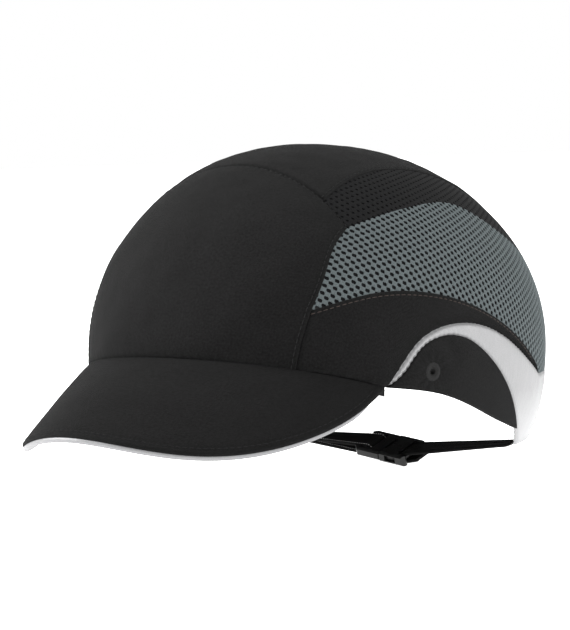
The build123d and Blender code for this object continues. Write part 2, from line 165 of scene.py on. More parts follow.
def area_light(name, place, size, power):
    light = bpy.data.lights.new(name, "AREA")
    light.shape = "DISK"
    light.size = size
    light.energy = power
    lamp = bpy.data.objects.new(name, light)
    bpy.context.scene.collection.objects.link(lamp)
    lamp.location = place
    lamp.rotation_euler = (-Vector(place)).to_track_quat("-Z", "Y").to_euler()


def make_studio():
    """Even white sky, key, top and rear lights, and a pale floor whose glow hides shadows on it."""
    world = bpy.data.worlds.new("studio")
    world.use_nodes = True
    world.node_tree.nodes["Background"].inputs["Color"].default_value = (1, 1, 1, 1)
    world.node_tree.nodes["Background"].inputs["Strength"].default_value = 1.0
    bpy.context.scene.world = world
    bpy.context.scene.view_settings.view_transform = "Standard"
    area_light("key", (-1.3, -0.9, 0.9), 0.7, 32)
    area_light("top", (-0.1, -0.1, 1.6), 0.9, 12)
    area_light("rear", (1.1, 0.9, 0.3), 0.6, 6)
    low = CAD_BOX[0].z - 0.0008
    bpy.ops.mesh.primitive_plane_add(size=60, location=(0, 0, low))
    floor = bpy.context.object
    floor.name = "floor"
    finish = new_material("floor", (0.9, 0.9, 0.9), roughness=0.9)
    glow = finish.node_tree.nodes["Principled BSDF"]
    glow.inputs["Emission Color"].default_value = (1, 1, 1, 1)
    glow.inputs["Emission Strength"].default_value = 1.0
    floor.data.materials.append(finish)


# ---------------------------------------------------------------- materials


def new_material(name, colour, roughness=0.8, metallic=0.0, sheen=0.0, specular=0.5):
    material = bpy.data.materials.new(name)
    material.use_nodes = True
    shader = material.node_tree.nodes["Principled BSDF"]
    shader.inputs["Base Color"].default_value = (*colour, 1)
    shader.inputs["Roughness"].default_value = roughness
    shader.inputs["Metallic"].default_value = metallic
    shader.inputs["Specular IOR Level"].default_value = specular
    if sheen:
        shader.inputs["Sheen Weight"].default_value = sheen
        shader.inputs["Sheen Roughness"].default_value = 0.5
    return material


class Nodes:
    """Short calls for building one material's nodes."""

    def __init__(self, material):
        self.tree = material.node_tree
        self.shader = self.tree.nodes["Principled BSDF"]

    def add(self, kind, **settings):
        node = self.tree.nodes.new(kind)
        for name, value in settings.items():
            setattr(node, name, value)
        return node

    def link(self, source, target):
        self.tree.links.new(source, target)

    def math(self, operation, first, second=0.0):
        node = self.add("ShaderNodeMath", operation=operation)
        for socket, value in zip(node.inputs, (first, second)):
            if isinstance(value, (int, float)):
                socket.default_value = value
            else:
                self.link(value, socket)
        return node.outputs[0]

    def noise(self, vector, size, detail=3.0):
        """Noise with features about size across, in the vector's own unit."""
        node = self.add("ShaderNodeTexNoise")
        node.inputs["Scale"].default_value = 1 / size
        node.inputs["Detail"].default_value = detail
        self.link(vector, node.inputs["Vector"])
        return node.outputs["Fac"]

    def cloth_place(self):
        """Where a point lies in the flat cloth, in millimetres."""
        return self.add("ShaderNodeUVMap", uv_map="cloth").outputs["UV"]

    def object_place(self):
        return self.add("ShaderNodeTexCoord").outputs["Object"]

    def shade(self, factor, dark, light, socket="Base Color"):
        """Mixes two values of one socket by a factor from 0.3 to 0.7."""
        ramp = self.add("ShaderNodeValToRGB")
        ramp.color_ramp.elements[0].position = 0.3
        ramp.color_ramp.elements[1].position = 0.7
        for stop, value in zip(ramp.color_ramp.elements, (dark, light)):
            stop.color = (*value, 1) if hasattr(value, "__len__") else (value,) * 3 + (1,)
        self.link(factor, ramp.inputs["Fac"])
        self.link(ramp.outputs["Color"], self.shader.inputs[socket])

    def bump(self, height, distance, strength=1.0):
        node = self.add("ShaderNodeBump")
        node.inputs["Distance"].default_value = distance
        node.inputs["Strength"].default_value = strength
        self.link(height, node.inputs["Height"])
        self.link(node.outputs["Normal"], self.shader.inputs["Normal"])


def tinted(colour, share):
    return tuple(value * share for value in colour)


def woven(name, colour, pitch, depth, twill=0.0, mottle=0.12, **finish):
    """Woven cloth: over-and-under threads, mottled by patches of a few millimetres."""
    material = new_material(name, colour, **finish)
    nodes = Nodes(material)
    place = nodes.cloth_place()
    split = nodes.add("ShaderNodeSeparateXYZ")
    nodes.link(place, split.inputs[0])
    u, v = split.outputs[0], split.outputs[1]
    along = nodes.math("MULTIPLY", u, 2 * pi / pitch)
    across = nodes.math("MULTIPLY", v, 2 * pi / pitch)
    across = nodes.math("ADD", across, nodes.math("MULTIPLY", along, twill))
    threads = nodes.math("MULTIPLY", nodes.math("SINE", along), nodes.math("SINE", across))
    slub = nodes.noise(place, pitch * 3)
    height = nodes.math("ADD", nodes.math("MULTIPLY", threads, 0.5), slub)
    nodes.bump(height, depth)
    patches = nodes.math("MULTIPLY", nodes.noise(place, 14.0), 0.2)
    grain = nodes.math("MULTIPLY", nodes.noise(place, pitch * 1.8), 0.8)
    worn = nodes.math("ADD", patches, grain)
    nodes.shade(worn, tinted(colour, 1 - mottle), tinted(colour, 1 + mottle))
    return material


def knitted(name, colour, **finish):
    """The yarns of a knitted mesh, with fine loops along them."""
    material = new_material(name, colour, **finish)
    nodes = Nodes(material)
    place = nodes.cloth_place()
    loops = nodes.noise(place, 0.5)
    nodes.bump(loops, 0.00025)
    nodes.shade(loops, tinted(colour, 0.75), tinted(colour, 1.25))
    return material


def reflective(name, colour, **finish):
    """Reflective tape: fine glass beads under a smooth face, faintly woven."""
    material = new_material(name, colour, **finish)
    nodes = Nodes(material)
    place = nodes.cloth_place()
    beads = nodes.noise(place, 0.35, 1.0)
    creases = nodes.noise(place, 8.0)
    nodes.bump(nodes.math("ADD", nodes.math("MULTIPLY", beads, 0.15), creases), 0.0006)
    nodes.shade(beads, tinted(colour, 0.88), tinted(colour, 1.08))
    return material


def moulded(name, colour, grain=0.0006, depth=0.00004, **finish):
    """Moulded plastic with a fine spark-eroded grain."""
    material = new_material(name, colour, **finish)
    nodes = Nodes(material)
    place = nodes.object_place()
    texture = nodes.noise(place, grain)
    nodes.bump(texture, depth)
    rough = finish.get("roughness", 0.5)
    nodes.shade(nodes.noise(place, grain * 12), rough * 0.85, rough * 1.15, "Roughness")
    return material


def spongy(name, colour, cell, depth, **finish):
    """Foam or terry: an open, irregular surface."""
    material = new_material(name, colour, **finish)
    nodes = Nodes(material)
    place = nodes.object_place()
    cells = nodes.add("ShaderNodeTexVoronoi")
    cells.inputs["Scale"].default_value = 1 / cell
    nodes.link(place, cells.inputs["Vector"])
    nodes.bump(cells.outputs["Distance"], depth)
    nodes.shade(cells.outputs["Distance"], tinted(colour, 0.8), tinted(colour, 1.2))
    return material


def brighter_low(material, low, high, dark, light):
    """Brightens tape from high down to low, standing in for the light on its hanging tail."""
    nodes = Nodes(material)
    split = nodes.add("ShaderNodeSeparateXYZ")
    nodes.link(nodes.object_place(), split.inputs[0])
    place = nodes.add("ShaderNodeMapRange")
    nodes.link(split.outputs[2], place.inputs["Value"])
    for name, value in (("From Min", high), ("From Max", low), ("To Min", dark), ("To Max", light)):
        place.inputs[name].default_value = value
    base = nodes.shader.inputs["Base Color"]
    mix = nodes.add("ShaderNodeVectorMath", operation="SCALE")
    nodes.link(base.links[0].from_socket, mix.inputs[0])
    nodes.link(place.outputs[0], mix.inputs["Scale"])
    nodes.link(mix.outputs[0], base)
    return material


def make_materials():
    cloth = dict(roughness=0.9, sheen=0.02, specular=0.09)
    tape = reflective("reflective_tape", (0.23, 0.23, 0.233), roughness=0.5, metallic=0.2)
    return {
        "black": woven("black_fabric", (0.0064, 0.0064, 0.0064), 0.5, 0.00025, mottle=0.6, **cloth),
        "lining": woven("lining_fabric", (0.011, 0.011, 0.012), 0.6, 0.0001, 1.0, **cloth),
        "black_mesh": knitted("black_mesh", (0.0055, 0.0055, 0.0058), roughness=0.85, specular=0.12),
        "grey_mesh": knitted("grey_mesh", (0.078, 0.093, 0.096), roughness=0.75, specular=0.2),
        "tape": brighter_low(tape, -0.038, -0.018, 1.15, 1.8),
        "piping": reflective("reflective_piping", (0.24, 0.24, 0.245), roughness=0.45, metallic=0.3),
        "shell": moulded("shell_plastic", (0.004, 0.004, 0.0045), roughness=0.5),
        "board": moulded("board_plastic", (0.012, 0.012, 0.012), roughness=0.5),
        "buckle": moulded("buckle_plastic", (0.012, 0.012, 0.012), 0.0003, 0.00003, roughness=0.32),
        "foam": spongy("foam", (0.03, 0.031, 0.033), 0.0012, 0.0002, roughness=0.95),
        "terry": spongy("sweatband_fabric", (0.014, 0.014, 0.015), 0.0011, 0.0003, roughness=0.95),
        "thread": knitted("thread", (0.009, 0.009, 0.009), roughness=0.7, specular=0.2),
        "brown_thread": knitted("brown_thread", (0.042, 0.032, 0.028), roughness=0.7, specular=0.2),
        "webbing": woven("webbing", (0.007, 0.007, 0.007), 1.1, 0.0003, 1.0, roughness=0.8, specular=0.15),
        "white_thread": knitted("white_thread", (0.6, 0.6, 0.6), roughness=0.6),
    }


# ---------------------------------------------------------------- curves on the crown


def spline(points, count=400):
    """Points along the natural cubic spline through a few points; straight for two."""
    points = np.array(points, float)
    knots = np.concatenate([[0], np.cumsum(np.linalg.norm(np.diff(points, axis=0), axis=1))])
    gaps = np.diff(knots)
    size = len(points)
    system, load = np.eye(size), np.zeros_like(points)
    slopes = np.diff(points, axis=0) / gaps[:, None]
    for k in range(1, size - 1):
        system[k, k - 1 : k + 2] = gaps[k - 1], 2 * (gaps[k - 1] + gaps[k]), gaps[k]
        load[k] = 6 * (slopes[k] - slopes[k - 1])
    bend = np.linalg.solve(system, load)
    at = np.linspace(0, knots[-1], count)
    k = np.clip(np.searchsorted(knots, at, side="right") - 1, 0, size - 2)
    gap = gaps[k][:, None]
    left, right = (at - knots[k])[:, None], (knots[k + 1] - at)[:, None]
    curve = (bend[k] * right**3 + bend[k + 1] * left**3) / (6 * gap)
    curve += (points[k] / gap - bend[k] * gap / 6) * right
    return curve + (points[k + 1] / gap - bend[k + 1] * gap / 6) * left


def axes_at(y, z):
    """The crown's reach along Y and Z at points, counted from its apex."""
    reach = np.where(y < 0, FRONT_REACH, REAR_REACH)
    height = np.where(z > 0, CROWN_HEIGHT, LOWER_DEPTH)
    return reach, height


def on_crown(points):
    """Points moved straight out from the apex's centre to the crown's surface."""
    away = points - APEX
    reach, height = axes_at(away[..., 1], away[..., 2])
    size = (away[..., 0] / HALF_WIDTH) ** 2 + (away[..., 1] / reach) ** 2
    size = np.sqrt(size + (away[..., 2] / height) ** 2)
    return APEX + away / size[..., None]


def crown_normal(points):
    away = points - APEX
    reach, height = axes_at(away[..., 1], away[..., 2])
    normal = np.stack(
        [away[..., 0] / HALF_WIDTH**2, away[..., 1] / reach**2, away[..., 2] / height**2], -1
    )
    return normal / np.linalg.norm(normal, axis=-1)[..., None]


def side_x(y, z):
    """The left surface's x at a place in the side view, or -1 where there is none."""
    reach, height = axes_at(y - APEX_Y, z)
    left = 1 - ((y - APEX_Y) / reach) ** 2 - (z / height) ** 2
    return np.where(left >= 0, HALF_WIDTH * np.sqrt(np.maximum(left, 0)), -1)


def side_curve(points):
    """A seam drawn in the side view, laid on the crown's left."""
    y, z = spline(points, 4000).T
    x = side_x(y, z)
    keep = x >= 0
    return np.stack([x, y, z], -1)[keep]


def mirrored(curve):
    return curve * np.array([-1, 1, 1])


def joined(*curves):
    return np.concatenate(curves)


def round_front(points):
    """A seam from the crown's left round its front to its right."""
    left = side_curve(points)
    return joined(left, mirrored(left)[::-1])


def back_curve(half, rise, x0, x1):
    """An arch over the nape, from x0 to x1."""
    turns = np.linspace(acos(x0 / half), acos(x1 / half), 400)
    x, z = half * np.cos(turns), TAIL_BASE + rise * np.sin(turns)
    height = np.where(z > 0, CROWN_HEIGHT, LOWER_DEPTH)
    y = APEX_Y + REAR_REACH * np.sqrt(1 - (x / HALF_WIDTH) ** 2 - (z / height) ** 2)
    return np.stack([x, y, z], -1)


def level_curve(y0, y1, z):
    """A level line along the crown's left."""
    y = np.linspace(y0, y1, 200)
    return np.stack([side_x(y, np.full_like(y, z)), y, np.full_like(y, z)], -1)


def strip_x(y):
    """Half the crown strip's width at y."""
    share = (y - SEAM_TOP[0]) / (STRIP_BACK_Y - SEAM_TOP[0])
    return STRIP_FRONT + (STRIP_BACK - STRIP_FRONT) * share


def strip_edge():
    """The crown strip's left edge, from the front seam over the top to the nape."""
    start = np.arcsin((SEAM_TOP[0] - APEX_Y) / FRONT_REACH)
    turns = np.linspace(1.3 * start, radians(100), 3000)
    x = np.full_like(turns, 40.0)
    for _ in range(12):
        width = np.sqrt(1 - (x / HALF_WIDTH) ** 2)
        reach = np.where(turns < 0, FRONT_REACH, REAR_REACH)
        y = APEX_Y + reach * np.sin(turns) * width
        x = strip_x(y)
    z = np.where(np.cos(turns) > 0, CROWN_HEIGHT, LOWER_DEPTH) * np.cos(turns) * width
    above_ring = (x / RING_HALF) ** 2 + (np.maximum(z - TAIL_BASE, 0) / RING_RISE) ** 2 >= 1
    keep = (y >= SEAM_TOP[0]) & above_ring
    return np.stack([x, y, z], -1)[keep]


def over_top(x):
    """The line over the crown at the front seam's top, at each x."""
    ahead = (SEAM_TOP[0] - APEX_Y) / FRONT_REACH
    z = CROWN_HEIGHT * np.sqrt(1 - ahead**2 - (x / HALF_WIDTH) ** 2)
    return np.stack([x, np.full_like(x, SEAM_TOP[0]), z], -1)


def lengths(curve):
    return np.concatenate([[0], np.cumsum(np.linalg.norm(np.diff(curve, axis=0), axis=1))])


def at_shares(curve, shares):
    """Points at shares of a curve's length."""
    run = lengths(curve)
    if run[-1] == 0:
        return np.repeat(curve[:1], len(shares), axis=0)
    return np.stack([np.interp(shares * run[-1], run, curve[:, k]) for k in range(3)], -1)


def shares_of(length, cell=1.6, fine=3.2, edge=0.35):
    """Shares along a length, close together near both ends."""
    near = edge * (np.exp(np.linspace(0, np.log(1 + fine / edge), 7)) - 1)
    middle = np.linspace(near[-1], length - near[-1], max(3, int(length / cell)))
    if length < 3 * fine:
        return np.linspace(0, 1, max(5, int(length / 0.5)))
    return np.concatenate([near[:-1], middle, (length - near[:-1])[::-1]]) / length


def coons(bottom, top, start, end, across, along):
    """A grid of points between four curves; across runs along bottom and top."""
    bottom, top = at_shares(bottom, across)[:, None], at_shares(top, across)[:, None]
    start, end = at_shares(start, along)[None], at_shares(end, along)[None]
    u, v = across[:, None, None], along[None, :, None]
    grid = (1 - v) * bottom + v * top + (1 - u) * start + u * end
    grid -= (1 - u) * ((1 - v) * bottom[:1] + v * top[:1])
    return grid - u * ((1 - v) * bottom[-1:] + v * top[-1:])


def ruled(bottom, top, across, along):
    """A grid between two curves, straight from one to the other at both ends."""
    start, end = np.stack([bottom[0], top[0]]), np.stack([bottom[-1], top[-1]])
    return coons(bottom, top, start, end, across, along)


def sunk(grid, depth):
    """A grid laid on the crown, then moved in by a depth."""
    grid = on_crown(grid)
    return grid - crown_normal(grid) * depth


# ---------------------------------------------------------------- meshes


def object_from(name, points, faces, uvs, material):
    """A closed mesh object from millimetre points, with its flat cloth places."""
    mesh = bpy.data.meshes.new(name)
    mesh.from_pydata((np.asarray(points) * MM).tolist(), [], faces)
    layer = mesh.uv_layers.new(name="cloth")
    corners = np.zeros(len(mesh.loops), np.int32)
    mesh.loops.foreach_get("vertex_index", corners)
    layer.data.foreach_set("uv", np.asarray(uvs, np.float32)[corners].ravel())
    work = bmesh.new()
    work.from_mesh(mesh)
    bmesh.ops.remove_doubles(work, verts=work.verts, dist=2e-6)
    bmesh.ops.recalc_face_normals(work, faces=work.faces)
    work.to_mesh(mesh)
    work.free()
    paint_mesh(mesh, material, sharp=50)
    piece = bpy.data.objects.new(name, mesh)
    bpy.context.scene.collection.objects.link(piece)
    return piece


def paint_mesh(mesh, material, sharp=None):
    """Smooth shading, sharp only past an angle in degrees, and one material."""
    mesh.polygons.foreach_set("use_smooth", [True] * len(mesh.polygons))
    if sharp:
        mesh.set_sharp_from_angle(angle=radians(sharp))
    mesh.materials.clear()
    mesh.materials.append(material)


def tube_faces(rings, size):
    """The faces of a closed tube of rings with size points each, and its two ends."""
    faces = [
        (i * size + j, i * size + (j + 1) % size, (i + 1) * size + (j + 1) % size, (i + 1) * size + j)
        for i in range(rings - 1)
        for j in range(size)
    ]
    return faces + [tuple(range(size)), tuple(range((rings - 1) * size, rings * size))]


def thickened(name, outer, inner, faces, uvs, material):
    """A closed piece from an outer skin, the matching inner skin and walls at every edge."""
    count = len(outer)
    seen = {}
    for face in faces:
        for a, b in zip(face, face[1:] + face[:1]):
            seen[(a, b)] = seen.get((a, b), 0) + 1
    walls = [(b, a, a + count, b + count) for a, b in seen if (b, a) not in seen]
    backs = [tuple(k + count for k in face[::-1]) for face in faces]
    points = np.concatenate([outer, inner])
    return object_from(name, points, list(faces) + backs + walls, np.tile(uvs, (2, 1)), material)


def edge_distances(grid):
    """Distance of each grid point from the start, end, bottom and top edges."""
    across = np.linalg.norm(np.diff(grid, axis=0), axis=2)
    along = np.linalg.norm(np.diff(grid, axis=1), axis=2)
    u = np.concatenate([np.zeros((1, grid.shape[1])), np.cumsum(across, 0)])
    v = np.concatenate([np.zeros((grid.shape[0], 1)), np.cumsum(along, 1)], 1)
    return {"start": u, "end": u[-1:] - u, "bottom": v, "top": v[:, -1:] - v}


def rounded_edge(distance, radius):
    """How far a rounded edge drops at a distance in from it."""
    inside = np.clip(radius - distance, 0, radius)
    return radius - np.sqrt(radius**2 - inside**2)


def ripples(points, size, seed):
    """Smooth noise at each point, from -1 to 1."""
    flat = points.reshape(-1, 3) / size + seed
    return np.array([noise.noise(p) for p in flat]).reshape(points.shape[:-1])


def puckers(run, distance):
    """Small gathers that a row of stitches makes along an edge."""
    return np.cos(2 * pi * run / STITCH_PITCH) * np.exp(-distance / 2.2)


def cloth_relief(grid, folded=(), grooved=(), lift=0.0, slack=0.25, seed=0.0):
    """Height of a panel's face over the crown: slack, folded edges and pressed seams."""
    away = edge_distances(grid)
    height = lift + slack * ripples(grid, 26, seed) + 0.3 * slack * ripples(grid, 7, seed + 9)
    settle = np.minimum.reduce([away[k] for k in away])
    height = lift + (height - lift) * np.clip(settle / 6, 0, 1)
    for edge in folded:
        run = away["start"] if edge in ("bottom", "top") else away["bottom"]
        height -= rounded_edge(away[edge], 0.45)
        row = np.exp(-(((away[edge] - FOLD_INSET) / 0.5) ** 2))
        height -= row * (0.16 + 0.06 * np.cos(2 * pi * run / STITCH_PITCH))
    for edge in grooved:
        run = away["start"] if edge in ("bottom", "top") else away["bottom"]
        height -= 0.85 * np.exp(-((away[edge] / 0.8) ** 2))
        height += 0.28 * puckers(run, away[edge]) + 0.12 * ripples(grid, 3.5, 21.0) * np.exp(-away[edge] / 5)
    return height


def panel(name, grid, relief, thick, material, keep=None, seat=crown_normal):
    """A closed cloth panel from a grid on the crown, its face raised by relief."""
    columns, rows = grid.shape[:2]
    normal = seat(grid)
    outer = (grid + normal * relief[..., None]).reshape(-1, 3)
    inner = (grid - normal * (thick - np.minimum(relief, 0)[..., None])).reshape(-1, 3)
    away = edge_distances(grid)
    uvs = np.stack([away["start"], away["bottom"]], -1).reshape(-1, 2)
    faces = []
    for i in range(columns - 1):
        for j in range(rows - 1):
            if keep is None or keep[i, j]:
                a = i * rows + j
                faces.append((a, a + rows, a + rows + 1, a + 1))
    return thickened(name, outer, inner, faces, uvs, material)


def mirror_piece(piece, name):
    """A mirror-image copy of a piece on the wearer's right."""
    twin = piece.copy()
    twin.data = piece.data.copy()
    twin.name = name
    twin.data.name = name
    twin.data.transform(Matrix.Diagonal((-1, 1, 1, 1)))
    twin.data.flip_normals()
    bpy.context.scene.collection.objects.link(twin)
    return twin


def seat_piece(piece, body, slot, *nodes):
    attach(piece, body)
    if nodes:
        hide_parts(*nodes)
    return piece


def sheet_size(grid):
    """A cut panel's width, length and area, in metres."""
    away = edge_distances(grid)
    side_a = np.diff(grid, axis=0)[:, :-1]
    side_b = np.diff(grid, axis=1)[:-1]
    area = np.linalg.norm(np.cross(side_a, side_b), axis=2).sum() * MM * MM
    width, length = away["start"].max() * MM, away["bottom"].max() * MM
    return (width, length), min(area, width * length)


def declare_sheet(grid):
    flat, area = sheet_size(grid)
    if min(flat) < 0.01:
        return


def both_sides(name, left, slot, grid=None, body="cap"):
    """Seats a left piece and its mirror image in place of the CAD pair."""
    right = mirror_piece(left, f"{name}_right_cloth")
    for side, piece in (("left", left), ("right", right)):
        seat_piece(piece, body, slot, f"{name}_{side}")
        if grid is not None:
            declare_sheet(grid)


# ---------------------------------------------------------------- stitches


class Stitches:
    """Rows of short thread capsules, gathered in one piece."""

    SIDES, RINGS = 6, 6

    def __init__(self):
        self.points, self.faces = [], []

    def row(self, curve, normal, pitch=STITCH_PITCH, length=STITCH_LENGTH, radius=STITCH_RADIUS):
        run = lengths(curve)
        for start in np.arange(pitch / 2, run[-1] - pitch / 2, pitch):
            self.stitch(curve, run, normal, start, length, radius)

    def stitch(self, curve, run, normal, start, length, radius):
        base = len(self.points)
        for ring in range(self.RINGS):
            share = ring / (self.RINGS - 1)
            at = start + (share - 0.5) * length
            centre = np.array([np.interp(at, run, curve[:, k]) for k in range(3)])
            ahead = np.array([np.interp(at + 0.1, run, curve[:, k]) for k in range(3)])
            up = np.array([np.interp(at, run, normal[:, k]) for k in range(3)])
            forward = (ahead - centre) / max(np.linalg.norm(ahead - centre), 1e-9)
            side = np.cross(up, forward)
            bulge = sin(pi * share)
            size = radius * (0.35 + 0.65 * bulge**0.5)
            centre = centre + up * (bulge - 0.9) * radius * 1.3
            for k in range(self.SIDES):
                turn = 2 * pi * k / self.SIDES
                self.points.append(centre + size * (side * cos(turn) + up * sin(turn)))
        for face in tube_faces(self.RINGS, self.SIDES):
            self.faces.append(tuple(base + k for k in face))

    def piece(self, name, material):
        points = np.array(self.points)
        return object_from(name, points, self.faces, points[:, :2] + points[:, 2:], material)


def seam_row(stitches, curve, lift=0.1, **kind):
    curve = at_shares(curve, np.linspace(0, 1, 400))
    normal = crown_normal(curve)
    stitches.row(curve + normal * lift, normal, **kind)


def inset_curve(grid, edge, distance):
    """The line on a grid at a distance in from one edge."""
    away = edge_distances(grid)[edge]
    line = []
    lanes = range(grid.shape[0]) if edge in ("bottom", "top") else range(grid.shape[1])
    for lane in lanes:
        points = grid[lane] if edge in ("bottom", "top") else grid[:, lane]
        depth = away[lane] if edge in ("bottom", "top") else away[:, lane]
        if depth.max() < distance * 1.5:
            continue
        if depth[0] > depth[-1]:
            points, depth = points[::-1], depth[::-1]
        line.append([np.interp(distance, depth, points[:, k]) for k in range(3)])
    return np.array(line)


# ---------------------------------------------------------------- crown panels


def front_grid():
    seam = joined(side_curve(FRONT_SEAM_LOW)[::-1], side_curve(FRONT_SEAM)[::-1])
    half_top = side_x(np.array(float(SEAM_TOP[0])), np.array(float(SEAM_TOP[1])))
    top = over_top(np.linspace(half_top, -half_top, 600))
    brow = round_front(BROW_FRONT)
    across, along = shares_of(lengths(brow)[-1]), shares_of(lengths(seam)[-1])
    return on_crown(coons(brow, top, seam, mirrored(seam), across, along))


def strip_grid():
    left = strip_edge()
    front = over_top(np.linspace(STRIP_FRONT, -STRIP_FRONT, 400))
    back = back_curve(RING_HALF, RING_RISE, left[-1, 0], -left[-1, 0])
    across, along = shares_of(lengths(left)[-1]), shares_of(lengths(front)[-1])
    return on_crown(coons(left, mirrored(left), front, back, across, along))


def side_panel_grid():
    bottom = joined(side_curve(BROW_SIDE), side_curve(BAND_TOP))
    top = side_curve(MESH_LOW)
    start = side_curve(FRONT_SEAM_LOW)[::-1]
    end = np.stack([bottom[-1], top[-1]])
    across, along = shares_of(lengths(top)[-1]), shares_of(26.0, cell=1.2)
    return on_crown(coons(bottom, top, start, end, across, along))


def band_grid():
    arch = back_curve(ARCH_HALF, ARCH_RISE, ARCH_HALF, BACK_SEAM_X)
    low = [
        joined(side_curve(BAND_LOW), side_curve([FLAP_END, TAIL_FRONT])),
        level_curve(TAIL_FRONT[0], arch[0, 1], TAIL_BASE),
        arch,
    ]
    ring_x = RING_HALF * sqrt(1 - ((MESH_REAR[1] - TAIL_BASE) / RING_RISE) ** 2)
    ring = back_curve(RING_HALF, RING_RISE, ring_x, BACK_SEAM_X)
    high = [side_curve(BAND_TOP), level_curve(MESH_REAR[0], ring[0, 1], MESH_REAR[1]), ring]
    counts = (150, 26, 16)
    along = shares_of(20.0, cell=1.0)
    parts = []
    for count, bottom, top in zip(counts, low, high):
        across, v = np.linspace(0, 1, count), along[None, :, None]
        bottom, top = at_shares(bottom, across)[:, None], at_shares(top, across)[:, None]
        parts.append(((1 - v) * bottom + v * top)[0 if not parts else 1 :])
    return on_crown(joined(*parts))


def rear_band_grid():
    bottom = back_curve(ARCH_HALF, ARCH_RISE, BACK_SEAM_X, -BACK_SEAM_X)
    top = back_curve(RING_HALF, RING_RISE, BACK_SEAM_X, -BACK_SEAM_X)
    return on_crown(ruled(bottom, top, shares_of(110), shares_of(18, cell=1.0)))


def flap_grid():
    bottom, top = side_curve(FLAP_LOW), side_curve(BAND_LOW)
    return on_crown(ruled(bottom, top, np.linspace(0, 1, 130), shares_of(30.0, cell=0.9)))


def eyelet_place():
    """The left eyelet's centre on the flap, and the way it faces."""
    x = side_x(np.array(EYELET_Y), np.array(EYELET_Z))
    centre = np.array([float(x), EYELET_Y, EYELET_Z])
    return centre, crown_normal(centre[None])[0]


def build_front_panel(paint, stitches):
    grid = front_grid()
    seams = dict(grooved=("top", "bottom"), folded=("start", "end"))
    relief = cloth_relief(grid, lift=0.2, slack=0.7, seed=3, **seams)
    piece = panel("front_panel_cloth", grid, relief, FABRIC, paint["black"])
    seat_piece(piece, "cap", "black_fabric", "front_panel")
    declare_sheet(grid)
    for edge in ("start", "end"):
        seam_row(stitches, inset_curve(grid, edge, FOLD_INSET), 0.2)
    seam_row(stitches, inset_curve(grid, "top", 0.5), -0.1, radius=0.22)


def build_strip(paint, stitches):
    grid = strip_grid()
    seams = dict(grooved=("start", "end"), folded=("bottom", "top"))
    relief = cloth_relief(grid, lift=0.1, slack=0.8, seed=5, **seams)
    piece = panel("crown_strip_cloth", grid, relief, FABRIC, paint["black"])
    seat_piece(piece, "cap", "black_fabric", "crown_strip")
    declare_sheet(grid)
    for edge in ("bottom", "top"):
        seam_row(stitches, inset_curve(grid, edge, FOLD_INSET), 0.1)


def build_side_panel(paint, stitches):
    grid = side_panel_grid()
    relief = cloth_relief(grid, grooved=("start", "bottom"), folded=("top",), lift=0.15, seed=7)
    piece = panel("side_panel_left_cloth", grid, relief, FABRIC, paint["black"])
    both_sides("side_panel", piece, "black_fabric", grid)
    row = inset_curve(grid, "top", FOLD_INSET)
    seam_row(stitches, row, 0.15)
    seam_row(stitches, mirrored(row), 0.15)


def build_band(paint):
    grid = band_grid()
    folds = 0.45 * np.exp(-(((grid[..., 1] - 66) / 5) ** 2)) * np.cos((grid[..., 1] - 66) / 2.2)
    relief = cloth_relief(grid, grooved=("top", "bottom"), lift=0.0, slack=0.3, seed=11)
    relief = relief + folds * np.clip(-grid[..., 2] / 30, 0, 1)
    piece = panel("reflective_band_left_cloth", grid, relief, FABRIC, paint["tape"])
    both_sides("reflective_band", piece, "reflective_tape", grid)
    grid = rear_band_grid()
    relief = cloth_relief(grid, grooved=("top", "start", "end"), folded=("bottom",), seed=13)
    piece = panel("rear_band_cloth", grid, relief, FABRIC, paint["tape"])
    seat_piece(piece, "cap", "reflective_tape", "rear_band")
    declare_sheet(grid)


def build_flap(paint):
    """The padded ear flap, dimpled round its eyelet, with a soft crease above it."""
    grid = flap_grid()
    centre, _ = eyelet_place()
    away = edge_distances(grid)
    edge = np.minimum(away["bottom"], away["top"])
    out = np.linalg.norm(grid - centre, axis=-1)
    turn = np.arctan2(grid[..., 2] - centre[2], grid[..., 1] - centre[1])
    relief = 0.5 * np.clip(edge / 6, 0, 1) ** 0.6 - rounded_edge(edge, 0.6)
    relief -= 0.6 * np.exp(-((out / 6.5) ** 2))
    relief += 0.13 * np.cos(11 * turn) * np.exp(-(((out - 6.0) / 2.4) ** 2))
    crease = np.exp(-(((out - 12.5) / 3.0) ** 2)) * np.exp(-(((turn - 0.75) / 0.6) ** 2))
    relief -= 0.5 * crease + 0.15 * ripples(grid, 12, 2.0)
    middle = (grid[:-1, :-1] + grid[1:, 1:]) / 2
    keep = np.linalg.norm(middle - centre, axis=-1) > EYELET_BORE + 0.9
    piece = panel("ear_flap_left_cloth", grid, relief, FLAP, paint["black"], keep=keep)
    right = mirror_piece(piece, "ear_flap_right_cloth")
    for side, flap in (("left", piece), ("right", right)):
        seat_piece(flap, "cap", "black_fabric", f"ear_flap_{side}")
    return grid


